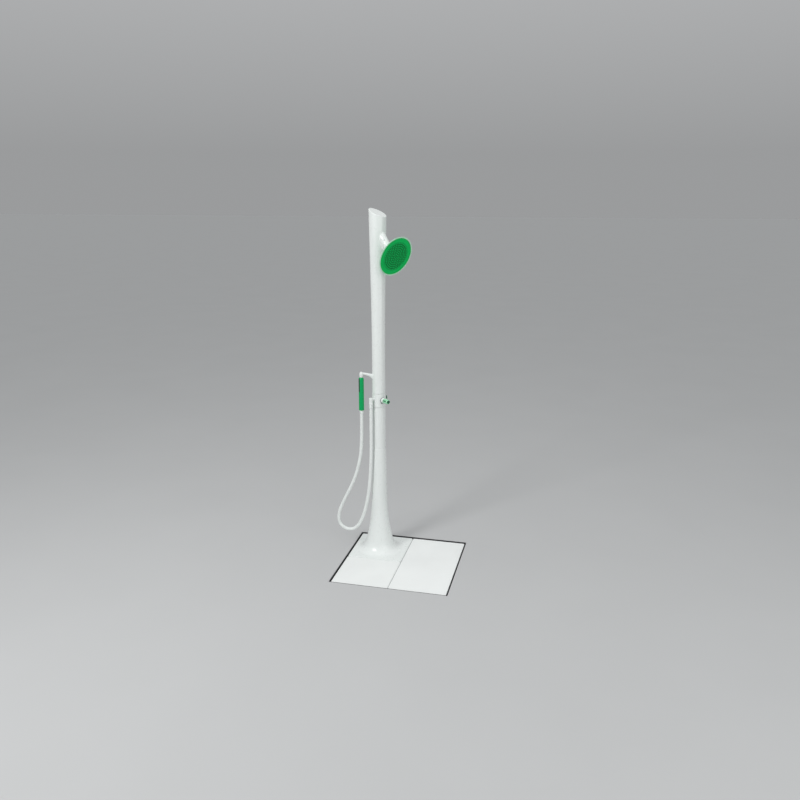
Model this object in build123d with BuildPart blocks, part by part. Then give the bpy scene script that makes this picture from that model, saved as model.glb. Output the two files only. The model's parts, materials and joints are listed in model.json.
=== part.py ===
from build123d import *
import os
from math import atan2, cos, degrees, hypot, pi, radians, sin, tan

# Free-standing safety shower shaped like a young tree: a floor base of three tiles in a drain tray,
# a slender hollow column, a branch with a tilting rain head, a mixer, and a hand shower on a hose.
# Millimetres. Z is up, the origin is the middle of the underside, the user stands on the -Y side.

# ---------------------------------------------------------------- driving dimensions
tile_field = 720.0          # outside size of the three white tiles together
tile_top = 70.0             # height of the walking surface above the underside
tile_thickness = 22.0
tile_seam = 5.0
tile_corner = 10.0
tile_edge = 2.5
tray_gap = 6.0              # black water slot all round the tiles
tray_wall = 2.5
rim_height = 75.0           # the tray's rim and the floor round it stand a little above the tiles
tray_floor_low = 15.0
tray_floor_high = 20.0
tray_corner = 14.0

column_x = -190.0           # the column grows out of the rear left tile
column_y = 180.0
shell_wall = 4.0
seam_low = 1060.0           # the mixer collar sits between two fine seams
seam_high = 1146.0
seam_gap = 1.2
cut_height = 2269.0         # where the slanting top cut meets the column's axis
cut_slope = 26.0            # degrees
cut_azimuth = -20.0         # the cut falls towards this plan direction

arm_azimuth = -33.0         # plan direction of the branch and the rain head
arm_root_height = 2178.0
ball_reach = 122.0          # ball joint centre, measured out from the column's axis
ball_height = 2032.0
head_dip = 22.0             # how far the rain head's spray direction dips below the horizontal
head_radius = 125.0
face_radius = 117.5
ball_radius = 14.0

mixer_azimuth = -38.0       # plan direction of the mixer knob
mixer_height = 1105.0
outlet_x = -228.0           # hose outlet, in front and to the left of the column
strand_y = 128.0            # the hose hangs in the plane y = strand_y
outlet_height = 1110.0
handset_x = -291.0
handset_radius = 16.5
handset_low = 1039.0
handset_high = 1255.0
hose_diameter = 22.0
slack = 0.3                 # clearance between parts that only lie beside each other
running = 0.05              # radial clearance of a running fit

# ---------------------------------------------------------------- planes and axes
column_base = Plane(origin=(column_x, column_y, 0))
column_axis = Axis((column_x, column_y, 0), (0, 0, 1))


def upright(azimuth, height=0.0, x=column_x, y=column_y):
    """Vertical plane through (x, y): its x runs out at the azimuth, its y runs up."""
    a = radians(azimuth)
    return Plane(origin=(x, y, height), x_dir=(cos(a), sin(a), 0), z_dir=(sin(a), -cos(a), 0))


def outward(azimuth, distance, height):
    """Plane that faces outwards from the column's axis at the azimuth."""
    a = radians(azimuth)
    spot = (column_x + distance * cos(a), column_y + distance * sin(a), height)
    return Plane(origin=spot, x_dir=(-sin(a), cos(a), 0), z_dir=(cos(a), sin(a), 0))


trunk_plane = upright(arm_azimuth + 180)
arm_plane = upright(arm_azimuth)
knob_base = outward(mixer_azimuth, 0, mixer_height)
knob_axis = Axis(knob_base.origin, knob_base.z_dir)

ball_spot = arm_plane.from_local_coords(Vector(ball_reach, ball_height, 0))
dip = radians(head_dip)
spray_direction = arm_plane.from_local_coords(Vector(cos(dip), -sin(dip), 0)) - arm_plane.origin
head_plane = Plane(origin=ball_spot, x_dir=spray_direction, z_dir=arm_plane.z_dir)
head_axis = Axis(ball_spot, spray_direction)
face_base = Plane(origin=ball_spot, x_dir=arm_plane.z_dir, z_dir=spray_direction)

handset_base = Plane(origin=(handset_x, strand_y, 0))
handset_azimuth = degrees(atan2(strand_y - column_y, handset_x - column_x))
outlet_azimuth = degrees(atan2(strand_y - column_y, outlet_x - column_x))
outlet_reach = hypot(strand_y - column_y, outlet_x - column_x)

# ---------------------------------------------------------------- trunk outline
# radius of the trunk against height above the tiles, under and over the mixer collar
foot_outline = [(150, 0), (84, 85), (63, 200), (51, 375), (43.6, 705), (42.4, 1010)]
crown_outline = [(42.3, 1040), (41.8, 1290), (45.6, 1745), (53, 2131), (55.5, 2290)]
foot_tangents = [(-1, 0.16), (0, 1)]
crown_tangents = [(0, 1), (0.02, 1)]


def raised(outline, inset=0.0):
    return [(radius - inset, tile_top + height) for radius, height in outline]


def turned_trunk(outline, tangents, inset=0.0, extra_depth=0.0):
    """Solid of revolution under a trunk outline, with a straight skirt below its first point."""
    points = raised(outline, inset)
    low = points[0][1] - extra_depth
    with BuildPart() as turned:
        with BuildSketch(trunk_plane):
            with BuildLine():
                Spline(points, tangents=tangents)
                Line(points[-1], (0, points[-1][1]))
                Line((0, points[-1][1]), (0, low))
                Line((0, low), (points[0][0], low))
                if extra_depth:
                    Line((points[0][0], low), points[0])
            make_face()
        revolve(axis=column_axis)
    return turned.part


foot_solid = turned_trunk(foot_outline, foot_tangents, 0, 10)
foot_hollow = turned_trunk(foot_outline, foot_tangents, shell_wall, tile_thickness + 1)
crown_solid = turned_trunk(crown_outline, crown_tangents)
crown_hollow = turned_trunk(crown_outline, crown_tangents, shell_wall)

# ---------------------------------------------------------------- drain tray and floor base
tray_inside = tile_field + 2 * tray_gap
tray_outside = tray_inside + 2 * tray_wall
drain_x = 180.0
drain_y = -180.0
flange_radius = 88.0
anchor_circle = 65.0
anchor_hole = 6.5
service_hole = 27.3         # round opening through plate, tray and flange for the two inlets
drain_bore = 25.05

with BuildPart() as drain_tray:
    with BuildSketch(Plane.XY.offset(tray_floor_low)):
        RectangleRounded(tray_outside, tray_outside, tray_corner)
    extrude(amount=rim_height - tray_floor_low)
    with BuildSketch(Plane.XY.offset(tray_floor_high)):
        RectangleRounded(tray_inside, tray_inside, tray_corner - tray_wall)
    extrude(amount=rim_height - tray_floor_high, mode=Mode.SUBTRACT)
    with BuildSketch(Plane.XY.offset(tray_floor_low)):
        with Locations((drain_x, drain_y)):
            Circle(30)
        with Locations((column_x, column_y)):
            Circle(service_hole)
            with PolarLocations(anchor_circle, 4, 45):
                Circle(anchor_hole)
    extrude(amount=tray_floor_high - tray_floor_low, mode=Mode.SUBTRACT)

with BuildPart() as tray_feet:
    with BuildSketch(Plane.XY):
        with GridLocations(620, 620, 2, 2):
            Circle(28)
        with Locations((0, 0), (0, -310), (310, 0), (0, 310), (-310, 0)):
            Circle(28)
    extrude(amount=tray_floor_low)

with BuildPart() as base_plate:
    with BuildSketch(column_base):
        Circle(flange_radius)
        Circle(service_hole, mode=Mode.SUBTRACT)
        with PolarLocations(anchor_circle, 4, 45):
            Circle(anchor_hole, mode=Mode.SUBTRACT)
    extrude(amount=tray_floor_low)

with BuildPart() as drain_body:
    with BuildSketch(Plane.XY.offset(2)):
        with Locations((drain_x, drain_y)):
            Circle(29.5)
            Circle(drain_bore, mode=Mode.SUBTRACT)
    extrude(amount=tray_floor_high + 1 - 2)
    with BuildSketch(Plane.XY.offset(tray_floor_high + 1)):
        with Locations((drain_x, drain_y)):
            Circle(46)
            Circle(drain_bore, mode=Mode.SUBTRACT)
    extrude(amount=3)

with BuildPart() as drain_gasket:
    with BuildSketch(Plane.XY.offset(tray_floor_high)):
        with Locations((drain_x, drain_y)):
            Circle(44)
            Circle(30, mode=Mode.SUBTRACT)
    extrude(amount=1)

with BuildPart() as drain_strainer:
    with BuildSketch(Plane.XY.offset(tray_floor_high + 4)):
        with Locations((drain_x, drain_y)):
            Circle(40)
            Circle(2.5, mode=Mode.SUBTRACT)
            for ring in range(1, 5):
                with PolarLocations(7.5 * ring, 6 * ring):
                    Circle(2.5, mode=Mode.SUBTRACT)
    extrude(amount=2)

tile_side = (tile_field - tile_seam) / 2
tile_middle = (tile_field + tile_seam) / 4
pedestal_inset = 40.0
pedestal_split = 36.0
near_tile = tile_middle - tile_side / 2 + pedestal_inset
far_tile = tile_middle + tile_side / 2 - pedestal_inset
left_spots = [(-x, y) for x in (near_tile, far_tile) for y in (-far_tile, -near_tile, near_tile, far_tile)]
right_spots = [(x, y) for x in (near_tile, far_tile) for y in (-far_tile, 0, far_tile)]

with BuildPart() as pedestal_bases:
    with BuildSketch(Plane.XY.offset(tray_floor_high)):
        with Locations(*left_spots, *right_spots):
            Circle(24)
    extrude(amount=pedestal_split - tray_floor_high)

with BuildPart() as pedestal_heads:
    with BuildSketch(Plane.XY.offset(pedestal_split)):
        with Locations(*left_spots, *right_spots):
            Circle(20)
    extrude(amount=tile_top - tile_thickness - pedestal_split)

with BuildPart() as front_left_tile:
    with BuildSketch(Plane.XY.offset(tile_top - tile_thickness)):
        with Locations((-tile_middle, -tile_middle)):
            RectangleRounded(tile_side, tile_side, tile_corner)
    extrude(amount=tile_thickness)
    fillet(front_left_tile.faces().sort_by(Axis.Z)[-1].edges(), tile_edge)

with BuildPart() as right_tile:
    with BuildSketch(Plane.XY.offset(tile_top - tile_thickness)):
        with Locations((tile_middle, 0)):
            RectangleRounded(tile_side, tile_field, tile_corner)
    extrude(amount=tile_thickness)
    fillet(right_tile.faces().sort_by(Axis.Z)[-1].edges(), tile_edge)

# soft strips fill the seams between the tiles, a little below the walking surface
strip_depth = 3.0
strip_height = 9.0
strip_run = tile_field - 2 * tile_corner

with BuildPart() as joint_strips:
    with BuildSketch(Plane.XY.offset(tile_top - strip_depth - strip_height)):
        Rectangle(tile_seam, strip_run)
        with Locations((-strip_run / 4, 0)):
            Rectangle(strip_run / 2, tile_seam)
    extrude(amount=strip_height)

# ---------------------------------------------------------------- mast and plumbing in the column
mast_radius = 35.0
mast_wall = 3.0
upper_mast_radius = 21.2
upper_mast_wall = 2.6
mixer_low = 1064.0
mixer_high = 1142.0
mixer_radius = 33.0
upper_mast_top = 2040.0
flange_top = 30.0
inlet_spacing = 13.5
inlet_thread = 10.48        # wall radius of a G1/2 female thread
inlet_depth = 16.0
block_top = 45.0
valve_low = 1036.0
valve_high = 1076.0

with BuildPart() as mast_flange:
    with BuildSketch(column_base.offset(tray_floor_high)):
        Circle(flange_radius)
        Circle(service_hole, mode=Mode.SUBTRACT)
        with PolarLocations(anchor_circle, 4, 45):
            Circle(anchor_hole, mode=Mode.SUBTRACT)
    extrude(amount=flange_top - tray_floor_high)
    chamfer(mast_flange.faces().sort_by(Axis.Z)[-1].outer_wire().edges(), 2)

with BuildPart() as lower_mast:
    with BuildSketch(column_base.offset(flange_top)):
        Circle(mast_radius)
        Circle(mast_radius - mast_wall, mode=Mode.SUBTRACT)
    extrude(amount=mixer_low - flange_top)

with BuildPart() as inlet_block:
    with BuildSketch(column_base):
        Circle(service_hole - slack)
    extrude(amount=flange_top)
    with BuildSketch(column_base.offset(flange_top)):
        Circle(mast_radius - mast_wall - slack)
    extrude(amount=block_top - flange_top)
    with BuildSketch(column_base):
        with Locations((-inlet_spacing, 0), (inlet_spacing, 0)):
            Circle(inlet_thread)
    extrude(amount=inlet_depth, mode=Mode.SUBTRACT)
    with BuildSketch(column_base):
        with Locations((-inlet_spacing, 0), (inlet_spacing, 0)):
            Circle(5)
    extrude(amount=block_top, mode=Mode.SUBTRACT)

with BuildPart() as hot_supply_pipe:
    with BuildSketch(column_base.offset(block_top)):
        with Locations((-inlet_spacing, 0)):
            Circle(6)
            Circle(5, mode=Mode.SUBTRACT)
    extrude(amount=valve_low - block_top)

with BuildPart() as cold_supply_pipe:
    with BuildSketch(column_base.offset(block_top)):
        with Locations((inlet_spacing, 0)):
            Circle(6)
            Circle(5, mode=Mode.SUBTRACT)
    extrude(amount=valve_low - block_top)

with BuildPart() as check_valves:
    with BuildSketch(column_base.offset(valve_low)):
        with Locations((-inlet_spacing, 0), (inlet_spacing, 0)):
            Circle(9)
            Circle(4, mode=Mode.SUBTRACT)
    extrude(amount=valve_high - valve_low)
    chamfer(check_valves.faces().sort_by(Axis.Z)[:2].edges().filter_by(lambda e: e.radius > 8), 1)

# The mixer body is a brass casting between the two masts. The cartridge pocket opens at the knob,
# the outlet port faces the hose, the check valves enter from below and the riser leaves on top.
pocket_start = 10.0
pocket_radius = 20.0
port_start = 26.0
port_radius = 9.0
riser_radius = 7.5
riser_seat = 1128.0

with BuildPart() as mixer_body:
    with BuildSketch(column_base.offset(mixer_low)):
        Circle(mixer_radius)
    extrude(amount=mixer_high - mixer_low)
    chamfer(mixer_body.edges().filter_by(GeomType.CIRCLE), 1.5)
    with BuildSketch(knob_base.offset(pocket_start)):
        Circle(pocket_radius)
    extrude(amount=mixer_radius, mode=Mode.SUBTRACT)
    with BuildSketch(outward(outlet_azimuth, port_start, outlet_height)):
        Circle(port_radius)
    extrude(amount=mixer_radius, mode=Mode.SUBTRACT)
    with BuildSketch(outward(outlet_azimuth, 0, outlet_height)):
        Circle(5)
    extrude(amount=mixer_radius, mode=Mode.SUBTRACT)
    with BuildSketch(column_base.offset(mixer_low)):
        with Locations((-inlet_spacing, 0), (inlet_spacing, 0)):
            Circle(9 + running)
    extrude(amount=valve_high - mixer_low, mode=Mode.SUBTRACT)
    with BuildSketch(column_base.offset(mixer_low)):
        with Locations((-inlet_spacing, 0), (inlet_spacing, 0)):
            Circle(4)
    extrude(amount=mixer_height - mixer_low, mode=Mode.SUBTRACT)
    with BuildSketch(column_base.offset(mixer_height)):
        Circle(5)
    extrude(amount=riser_seat - mixer_height, mode=Mode.SUBTRACT)
    with BuildSketch(column_base.offset(riser_seat)):
        Circle(riser_radius + running)
    extrude(amount=mixer_high - riser_seat, mode=Mode.SUBTRACT)

with BuildPart() as upper_mast:
    with BuildSketch(column_base.offset(mixer_high)):
        Circle(upper_mast_radius)
        Circle(upper_mast_radius - upper_mast_wall, mode=Mode.SUBTRACT)
    extrude(amount=upper_mast_top - mixer_high)

# thin rings keep the shells centred: height, outer radius, radius of the tube inside
ring_seats = [
    (620.0, 38.0, mast_radius),
    (1030.0, 38.0, mast_radius),
    (mixer_low + 2, 38.0, mixer_radius),
    (mixer_high - 8, 38.0, mixer_radius),
    (1170.0, 37.2, upper_mast_radius),
    (1560.0, 37.2, upper_mast_radius),
    (1950.0, 37.2, upper_mast_radius),
]

with BuildPart() as centring_rings:
    for height, outer_radius, tube_radius in ring_seats:
        with BuildSketch(column_base.offset(height)):
            Circle(outer_radius)
            Circle(tube_radius + running, mode=Mode.SUBTRACT)
        extrude(amount=6)

# ---------------------------------------------------------------- white shells of the trunk
with BuildPart() as column_shell:
    with BuildSketch(Plane.XY.offset(tile_top - tile_thickness)):
        with Locations((-tile_middle, tile_middle)):
            RectangleRounded(tile_side, tile_side, tile_corner)
    extrude(amount=tile_thickness)
    fillet(column_shell.faces().sort_by(Axis.Z)[-1].edges(), tile_edge)
    add(foot_solid)
    split(bisect_by=Plane.XY.offset(seam_low - seam_gap), keep=Keep.BOTTOM)
    add(foot_hollow, mode=Mode.SUBTRACT)

# The branch is a tapering limb that blends into the trunk and ends flat, just behind the ball joint.
arm_tip_gap = 34.0
arm_face_gap = 20.5
arm_root = arm_plane.from_local_coords(Vector(0, arm_root_height, 0))
arm_direction = (ball_spot - arm_root).normalized()
arm_reach = (ball_spot - arm_root).length
arm_length = arm_reach - arm_face_gap
arm_base = Plane(origin=arm_root, x_dir=arm_plane.z_dir, z_dir=arm_direction)
arm_upward = arm_plane.z_dir.cross(arm_direction)
arm_root_radius = 26.0
arm_tip_radius = 21.0
arm_tip_edge = 4.0
arm_blend = 18.0
channel_radius = 9.0
cap_thickness = 5.0
cap_plug = 10.0
cut_turn = radians(cut_azimuth)
cut_tilt = radians(cut_slope)
cut_normal = (sin(cut_tilt) * cos(cut_turn), sin(cut_tilt) * sin(cut_turn), cos(cut_tilt))
cut_plane = Plane(origin=(column_x, column_y, cut_height), z_dir=cut_normal)

stud_radius = 6.5
set_screw_radius = 3.0
set_screw_along = 102.0
set_screw_length = 12.0
set_screw_direction = arm_upward * 0.69 + arm_plane.z_dir * 0.724
set_screw_base = Plane(
    origin=arm_root + arm_direction * set_screw_along + set_screw_direction * channel_radius,
    x_dir=arm_direction,
    z_dir=set_screw_direction,
)
bracket_screw_height = 1259.0
bracket_screw_radius = 3.0

with BuildPart() as upper_shell:
    add(crown_solid)
    with BuildSketch(arm_base):
        Circle(arm_root_radius)
    with BuildSketch(arm_base.offset(arm_length)):
        Circle(arm_tip_radius)
    loft()
    fillet(upper_shell.edges(Select.NEW).filter_by(GeomType.BSPLINE), arm_blend)
    fillet(upper_shell.faces().sort_by(Axis(arm_root, arm_direction))[-1].edges(), arm_tip_edge)
    split(bisect_by=cut_plane.offset(-cap_thickness), keep=Keep.BOTTOM)
    split(bisect_by=Plane.XY.offset(seam_high + seam_gap), keep=Keep.TOP)
    add(crown_hollow, mode=Mode.SUBTRACT)
    with BuildSketch(arm_base):
        Circle(channel_radius)
    extrude(amount=arm_reach - arm_tip_gap, mode=Mode.SUBTRACT)
    with BuildSketch(arm_base.offset(arm_reach - arm_tip_gap)):
        Circle(stud_radius + running)
    extrude(amount=arm_tip_gap, mode=Mode.SUBTRACT)
    with BuildSketch(set_screw_base):
        Circle(set_screw_radius)
    extrude(amount=2 * set_screw_length, mode=Mode.SUBTRACT)
    with BuildSketch(outward(handset_azimuth, mast_radius, bracket_screw_height)):
        Circle(bracket_screw_radius)
    extrude(amount=mast_radius, mode=Mode.SUBTRACT)

with BuildPart() as cap_spigot:
    add(turned_trunk(crown_outline, crown_tangents, shell_wall + slack))
    split(bisect_by=cut_plane.offset(-cap_thickness), keep=Keep.BOTTOM)
    split(bisect_by=cut_plane.offset(-cap_thickness - cap_plug), keep=Keep.TOP)
    add(turned_trunk(crown_outline, crown_tangents, 2 * shell_wall + slack), mode=Mode.SUBTRACT)

# The slanting top is closed by a cap: a lid over the rim and a ring that plugs into the shell.
with BuildPart() as top_cap:
    add(crown_solid)
    split(bisect_by=cut_plane, keep=Keep.BOTTOM)
    split(bisect_by=cut_plane.offset(-cap_thickness), keep=Keep.TOP)
    fillet(top_cap.faces().sort_by(Axis.Z)[-1].edges(), 2)
    add(cap_spigot.part)

with BuildPart() as arm_set_screw:
    with BuildSketch(set_screw_base):
        Circle(set_screw_radius)
    extrude(amount=set_screw_length)
    with BuildSketch(set_screw_base.offset(set_screw_length)):
        RegularPolygon(1.6, 6)
    extrude(amount=-2.5, mode=Mode.SUBTRACT)

with BuildPart() as mixer_collar:
    with BuildSketch(column_base.offset(seam_low)):
        Circle(43.0)
        Circle(38.4, mode=Mode.SUBTRACT)
    extrude(amount=seam_high - seam_low)
    chamfer(mixer_collar.faces().filter_by(Axis.Z).edges().filter_by(GeomType.CIRCLE), 0.6)
    with BuildSketch(knob_base):
        Circle(20.2)
    extrude(amount=60, mode=Mode.SUBTRACT)
    with BuildSketch(outward(outlet_azimuth, 0, outlet_height)):
        Circle(10)
    extrude(amount=60, mode=Mode.SUBTRACT)

# ---------------------------------------------------------------- riser, elbow and branch pipe
elbow_radius = 11.0
elbow_ball_radius = 19.0
elbow_chamber = 15.0
elbow_reach = 36.0
elbow_low = arm_root_height - elbow_reach
socket_depth = 10.0
pipe_radius = 7.0

with BuildPart() as riser_elbow:
    with BuildSketch(column_base.offset(elbow_low)):
        Circle(elbow_radius)
    extrude(amount=arm_root_height - elbow_low)
    with BuildSketch(arm_base):
        Circle(elbow_radius)
    extrude(amount=elbow_reach)
    with Locations(arm_root):
        Sphere(elbow_ball_radius)
    with BuildSketch(column_base.offset(elbow_low)):
        Circle(5)
    extrude(amount=arm_root_height - elbow_low, mode=Mode.SUBTRACT)
    with BuildSketch(arm_base):
        Circle(5)
    extrude(amount=elbow_reach, mode=Mode.SUBTRACT)
    with Locations(arm_root):
        Sphere(elbow_chamber, mode=Mode.SUBTRACT)
    with BuildSketch(column_base.offset(elbow_low)):
        Circle(riser_radius)
    extrude(amount=socket_depth, mode=Mode.SUBTRACT)
    with BuildSketch(arm_base.offset(elbow_reach - socket_depth)):
        Circle(pipe_radius)
    extrude(amount=socket_depth, mode=Mode.SUBTRACT)

with BuildPart() as riser_pipe:
    with BuildSketch(column_base.offset(riser_seat)):
        Circle(riser_radius)
        Circle(riser_radius - 1.5, mode=Mode.SUBTRACT)
    extrude(amount=elbow_low + socket_depth - riser_seat)

with BuildPart() as arm_pipe:
    with BuildSketch(arm_base.offset(elbow_reach - socket_depth)):
        Circle(pipe_radius)
        Circle(pipe_radius - 1.5, mode=Mode.SUBTRACT)
    extrude(amount=arm_reach - arm_tip_gap - elbow_reach + socket_depth - 9)

# ---------------------------------------------------------------- ball joint and rain head
liner_inner = ball_radius + 0.1
liner_outer = 15.5
seal_inner = 15.6
seal_outer = 17.0
pocket_ball = 17.1
nut_outer = 19.5
nut_front = 21.0
zone_start = 35.0           # the spherical rings run between these angles from the spray direction
zone_end = 100.0
hub_back = 14.5
hub_bore = 8.0
face_back = 39.0
face_front = 42.2

with BuildPart() as ball_stud:
    with Locations(ball_spot):
        Sphere(ball_radius)
    with BuildSketch(arm_base.offset(arm_reach + 2 - arm_tip_gap)):
        Circle(stud_radius)
    extrude(amount=arm_tip_gap - 2)
    with BuildSketch(arm_base.offset(arm_reach + 2 - arm_tip_gap)):
        Circle(4)
    extrude(amount=arm_tip_gap + ball_radius, mode=Mode.SUBTRACT)

with BuildPart() as ball_liner:
    with BuildSketch(head_plane):
        with BuildLine():
            inner = CenterArc((0, 0), liner_inner, zone_start, zone_end - zone_start)
            outer = CenterArc((0, 0), liner_outer, zone_start, zone_end - zone_start)
            Line(inner @ 0, outer @ 0)
            Line(inner @ 1, outer @ 1)
        make_face()
    revolve(axis=head_axis)

with BuildPart() as ball_seal:
    with BuildSketch(head_plane):
        with BuildLine():
            inner = CenterArc((0, 0), seal_inner, zone_start, zone_end - zone_start)
            outer = CenterArc((0, 0), seal_outer, zone_start, zone_end - zone_start)
            Line(inner @ 0, outer @ 0)
            Line(inner @ 1, outer @ 1)
        make_face()
    revolve(axis=head_axis)

with BuildPart() as ball_nut:
    with BuildSketch(head_plane):
        with BuildLine():
            inner = CenterArc((0, 0), pocket_ball, 90, zone_end - 90)
            outer = CenterArc((0, 0), nut_outer, 90, zone_end - 90)
            Line(inner @ 1, outer @ 1)
            Polyline(inner @ 0, (nut_front, pocket_ball), (nut_front, nut_outer), outer @ 0)
        make_face()
    revolve(axis=head_axis)

with BuildPart() as head_shell:
    with BuildSketch(head_plane):
        with BuildLine():
            back = Spline((nut_front + slack, 24), (27, 70), (34.5, 113), tangents=[(0, 1), (0.5, 1)])
            rim = ThreePointArc(back @ 1, (37.5, 121.5), (42.6, head_radius))
            inside = Spline((nut_front + 3, 26), (29.4, 70), (36.4, 110), tangents=[(0, 1), (0.5, 1)])
            Polyline(rim @ 1, (43.2, head_radius - 0.8), (43.2, face_radius + 0.3),
                     (face_back - 0.8, face_radius + 0.3), (face_back - 0.8, 111), (36.9, 111), inside @ 1)
            Polyline(inside @ 0, (nut_front + 3, hub_bore), (hub_back, hub_bore),
                     (hub_back, pocket_ball - running), (nut_front + slack, pocket_ball - running), back @ 0)
        make_face()
    revolve(axis=head_axis)

with BuildPart() as face_gasket:
    with BuildSketch(face_base.offset(face_back - 0.8)):
        Circle(face_radius - 0.5)
        Circle(112, mode=Mode.SUBTRACT)
    extrude(amount=0.8)

nozzle_pitch = 12.0
nozzle_rings = 7
nozzle_hole = 2.4

with BuildPart() as face_plate:
    with BuildSketch(face_base.offset(face_back)):
        Circle(face_radius)
        for ring in range(1, nozzle_rings + 1):
            with PolarLocations(nozzle_pitch * ring, 6 * ring):
                Circle(nozzle_hole, mode=Mode.SUBTRACT)
    extrude(amount=face_front - face_back)
    chamfer(face_plate.faces().sort_by(head_axis)[-1].outer_wire().edges(), 0.8)

with BuildPart() as nozzle_mat:
    with BuildSketch(face_base.offset(face_back - 2)):
        Circle(nozzle_pitch * nozzle_rings + 8)
    extrude(amount=2)
    with BuildSketch(face_base.offset(face_back)):
        for ring in range(1, nozzle_rings + 1):
            with PolarLocations(nozzle_pitch * ring, 6 * ring):
                Circle(nozzle_hole - 0.2)
    extrude(amount=face_front - face_back + 1.2)
    with BuildSketch(face_base.offset(face_back - 2)):
        for ring in range(1, nozzle_rings + 1):
            with PolarLocations(nozzle_pitch * ring, 6 * ring):
                Circle(0.7)
    extrude(amount=face_front - face_back + 4, mode=Mode.SUBTRACT)

with BuildPart() as flow_regulator:
    with BuildSketch(face_base.offset(hub_back + 2)):
        Circle(hub_bore)
        with PolarLocations(4.5, 6):
            Circle(1.2, mode=Mode.SUBTRACT)
    extrude(amount=4)

# ---------------------------------------------------------------- mixer: cartridge, diverter, knob
cartridge_radius = 14.0
cartridge_end = 40.0
sleeve_inner = 14.4
sleeve_outer = pocket_radius - 0.08
sleeve_end = 46.0
ring_end = 58.0
knob_start = 58.4
knob_end = 100.0
knob_radius = 14.5
spindle_radius = 5.0
spindle_end = 66.0
pin_radius = 2.6
pin_reach = 82.0
pin_start = -8.0
pin_length = 30.0
lever_start = 20.0
lever_length = 23.0
lever_outline = [(4.2, 2.5), (3.6, 12), (2.2, 20.5), (0, lever_length)]
pin_base = Plane(origin=outward(mixer_azimuth, pin_reach, mixer_height + pin_start).origin)
groove_side = Vector(0, 0, 0.35) - Vector(knob_base.x_dir) * 0.937
groove_base = Plane(
    origin=knob_base.origin + Vector(knob_base.z_dir) * 76 + groove_side * (knob_radius - 1.6),
    x_dir=Vector(knob_base.z_dir).cross(groove_side),
    z_dir=groove_side,
)

with BuildPart() as mixer_cartridge:
    with BuildSketch(knob_base.offset(pocket_start)):
        Circle(cartridge_radius)
    extrude(amount=cartridge_end - pocket_start)
    with BuildSketch(knob_base.offset(pocket_start + 14)):
        Circle(spindle_radius + running)
    extrude(amount=cartridge_end, mode=Mode.SUBTRACT)

with BuildPart() as cartridge_nut:
    with BuildSketch(knob_base.offset(cartridge_end)):
        RegularPolygon(13.5, 6)
        Circle(spindle_radius + running, mode=Mode.SUBTRACT)
    extrude(amount=3)

with BuildPart() as mixer_spindle:
    with BuildSketch(knob_base.offset(pocket_start + 14.3)):
        Circle(spindle_radius)
    extrude(amount=spindle_end - pocket_start - 14.3)

with BuildPart() as diverter_sleeve:
    with BuildSketch(knob_base.offset(pocket_start + 2)):
        Circle(sleeve_outer)
        Circle(sleeve_inner, mode=Mode.SUBTRACT)
    extrude(amount=sleeve_end - pocket_start - 2)
    with BuildSketch(column_base.offset(mixer_height)):
        with Locations(Vector(18, 0).rotate(Axis.Z, mixer_azimuth)):
            Circle(4)
    extrude(amount=30, both=True, mode=Mode.SUBTRACT)

with BuildPart() as diverter_ring:
    with BuildSketch(knob_base.offset(sleeve_end)):
        Circle(18)
        Circle(spindle_radius + 1, mode=Mode.SUBTRACT)
    extrude(amount=ring_end - sleeve_end)
    chamfer(diverter_ring.faces().sort_by(knob_axis)[-1].outer_wire().edges(), 1.5)
    with BuildSketch(knob_base.offset(sleeve_end + 3)):
        with PolarLocations(18, 1, 150):
            Circle(3)
    extrude(amount=ring_end - sleeve_end - 6)

with BuildPart() as mixer_knob:
    with BuildSketch(knob_base.offset(knob_start)):
        Circle(knob_radius)
    extrude(amount=knob_end - knob_start)
    fillet(mixer_knob.faces().sort_by(knob_axis)[-1].edges(), 4)
    chamfer(mixer_knob.faces().sort_by(knob_axis)[0].edges(), 1)
    with BuildSketch(knob_base.offset(knob_start)):
        Circle(spindle_radius)
    extrude(amount=spindle_end - knob_start, mode=Mode.SUBTRACT)
    with BuildSketch(pin_base):
        Circle(pin_radius)
    extrude(amount=pin_length, mode=Mode.SUBTRACT)
    with BuildSketch(groove_base):
        SlotOverall(30, 4, rotation=90)
    extrude(amount=3, mode=Mode.SUBTRACT)

with BuildPart() as lever_pin:
    with BuildSketch(pin_base):
        Circle(pin_radius)
    extrude(amount=pin_length)

with BuildPart() as lever_grip:
    with BuildSketch(upright(mixer_azimuth, mixer_height + lever_start)):
        with BuildLine():
            side = Spline([(pin_reach + radius, height) for radius, height in lever_outline],
                          tangents=[(0, 1), (-1, 0)])
            Polyline(side @ 1, (pin_reach, 0), (pin_reach + 2.8, 0), side @ 0)
        make_face()
    revolve(axis=Axis(pin_base.origin, (0, 0, 1)))
    with BuildSketch(pin_base):
        Circle(pin_radius)
    extrude(amount=pin_length, mode=Mode.SUBTRACT)

# ---------------------------------------------------------------- hose outlet
outlet_base = Plane(origin=(outlet_x, strand_y, 0))
outlet_top = 1123.0
outlet_body_radius = 12.5
outlet_body_low = 1094.0
outlet_thread_low = 1078.0
outlet_thread_radius = 8.0
outlet_nut_high = 1093.5
outlet_nut_low = 1057.0
nut_bore = 5.0
washer_thickness = 2.0

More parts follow.
